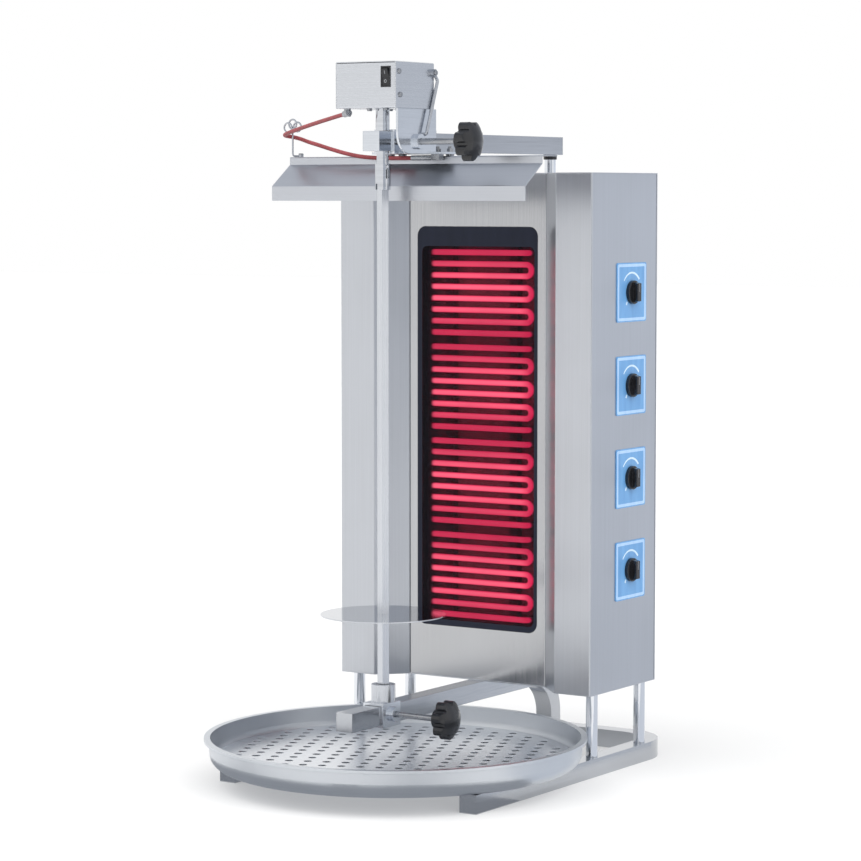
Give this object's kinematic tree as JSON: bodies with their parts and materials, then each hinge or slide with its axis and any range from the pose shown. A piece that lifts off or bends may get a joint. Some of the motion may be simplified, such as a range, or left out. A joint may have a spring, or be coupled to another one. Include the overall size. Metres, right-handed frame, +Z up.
{
  "type": "electric doner kebab grill",
  "caption": "Upright electric doner grill: glazed heater cabinet on a tube base, motor-driven vertical skewer with meat disc, hood and round perforated drip tray.",
  "frame": {"origin": "on the floor under the middle of the footprint", "axes": "+X to the right seen from the front, +Y backwards from the skewer towards the cabinet, +Z up"},
  "size_m": [0.51, 0.6636, 0.953],
  "materials": {
    "brushed_stainless": "brushed",
    "polished_stainless": "polished",
    "stainless_tube": "ground",
    "black_plastic": "satin",
    "heater_glass": "gloss",
    "blue_print": "satin print",
    "glowing_element": "hot",
    "ceramic_board": "matte",
    "red_silicone": "satin",
    "zinc_fasteners": "zinc",
    "light_plastic": "satin",
    "bronze_bush": "turned",
    "motor_casing": "satin"
  },
  "bodies": {
    "frame": {"base_frame": "stainless_tube", "tube_end_caps": "stainless_tube", "support_legs": "stainless_tube", "lower_arm": "stainless_tube", "rear_column": "stainless_tube", "column_bush": "black_plastic", "column_brackets": "brushed_stainless", "upper_bar": "stainless_tube", "side_casing_left": "brushed_stainless", "side_casing_right": "brushed_stainless", "front_panel": "brushed_stainless", "top_cover": "brushed_stainless", "bottom_pan": "brushed_stainless", "rear_cover": "brushed_stainless", "glass_frame": "brushed_stainless", "heater_glass": "heater_glass", "heater_pan": "brushed_stainless", "insulation_board": "ceramic_board", "element_rails": "brushed_stainless", "heating_element_1": "glowing_element", "heating_element_2": "glowing_element", "heating_element_3": "glowing_element", "heating_element_4": "glowing_element", "control_plates": "blue_print", "energy_regulators": "light_plastic", "terminal_block": "light_plastic", "mains_gland": "black_plastic", "cabinet_screws": "zinc_fasteners"},
    "upper_carriage": {"motor_saddle": "brushed_stainless", "bearing_block": "brushed_stainless", "bearing_bush": "bronze_bush", "motor_box_cover": "brushed_stainless", "motor_box_base": "brushed_stainless", "gear_motor": "motor_casing", "switch_bezel": "black_plastic", "carriage_fasteners": "zinc_fasteners", "brace_rod": "polished_stainless", "hood": "brushed_stainless", "cable_hook": "polished_stainless", "motor_cable": "red_silicone", "cable_glands": "zinc_fasteners"},
    "rocker": {"rocker_switch": "black_plastic"},
    "upper_clamp": {"upper_clamp_screw": "zinc_fasteners", "upper_clamp_knob": "black_plastic"},
    "spit": {"output_shaft": "polished_stainless", "skewer": "polished_stainless", "spit_pins": "zinc_fasteners"},
    "coupling": {"coupling_sleeve": "polished_stainless"},
    "disc": {"meat_disc": "polished_stainless"},
    "lower_carriage": {"lower_carriage": "brushed_stainless", "spit_cup": "brushed_stainless", "cup_bush": "bronze_bush"},
    "lower_clamp": {"lower_clamp_screw": "zinc_fasteners", "lower_clamp_knob": "black_plastic"},
    "tray": {"drip_tray": "polished_stainless"},
    "plate": {"drip_plate": "polished_stainless"},
    "knob_1": {"control_knob_1": "black_plastic"},
    "knob_2": {"control_knob_2": "black_plastic"},
    "knob_3": {"control_knob_3": "black_plastic"},
    "knob_4": {"control_knob_4": "black_plastic"}
  },
  "joints": [
    {"name": "upper_carriage_slide", "type": "slide", "parent": "frame", "child": "upper_carriage", "axis": [0, -1, 0], "range_m": [0, 0.04]},
    {"name": "lower_carriage_slide", "type": "slide", "parent": "frame", "child": "lower_carriage", "axis": [0, -1, 0], "range_m": [0, 0.04]},
    {"name": "spit_spin", "type": "hinge", "parent": "upper_carriage", "child": "spit", "pos_m": [0, -0.1062, 0.5], "axis": [0, 0, 1], "continuous": true},
    {"name": "coupling_lift", "type": "slide", "parent": "spit", "child": "coupling", "axis": [0, 0, 1], "range_m": [0, 0.013]},
    {"name": "disc_lift", "type": "slide", "parent": "spit", "child": "disc", "axis": [0, 0, 1], "range_m": [0, 0.3]},
    {"name": "upper_clamp_turn", "type": "hinge", "parent": "upper_carriage", "child": "upper_clamp", "pos_m": [0.1, -0.0892, 0.8505], "axis": [1, 0, 0], "range_deg": [0, 360]},
    {"name": "lower_clamp_turn", "type": "hinge", "parent": "lower_carriage", "child": "lower_clamp", "pos_m": [0.08, -0.1062, 0.0985], "axis": [1, 0, 0], "range_deg": [0, 360]},
    {"name": "rocker_tilt", "type": "hinge", "parent": "upper_carriage", "child": "rocker", "pos_m": [0.0313, -0.1452, 0.933], "axis": [-1, 0, 0], "range_deg": [0, 18]},
    {"name": "tray_pull", "type": "slide", "parent": "frame", "child": "tray", "axis": [0, -1, 0], "range_m": [0, 0.1]},
    {"name": "plate_lift", "type": "slide", "parent": "tray", "child": "plate", "axis": [0, 0, 1], "range_m": [0, 0.03]},
    {"name": "control_turn_1", "type": "hinge", "parent": "frame", "child": "knob_1", "pos_m": [0.21, 0.1938, 0.65], "axis": [-1, 0, 0], "range_deg": [0, 270]},
    {"name": "control_turn_2", "type": "hinge", "parent": "frame", "child": "knob_2", "pos_m": [0.21, 0.1938, 0.524], "axis": [-1, 0, 0], "range_deg": [0, 270]},
    {"name": "control_turn_3", "type": "hinge", "parent": "frame", "child": "knob_3", "pos_m": [0.21, 0.1938, 0.398], "axis": [-1, 0, 0], "range_deg": [0, 270]},
    {"name": "control_turn_4", "type": "hinge", "parent": "frame", "child": "knob_4", "pos_m": [0.21, 0.1938, 0.272], "axis": [-1, 0, 0], "range_deg": [0, 270]}
  ],
  "couplings": [
    {"joint": "lower_carriage_slide", "follows": "upper_carriage_slide", "ratio": 1}
  ]
}
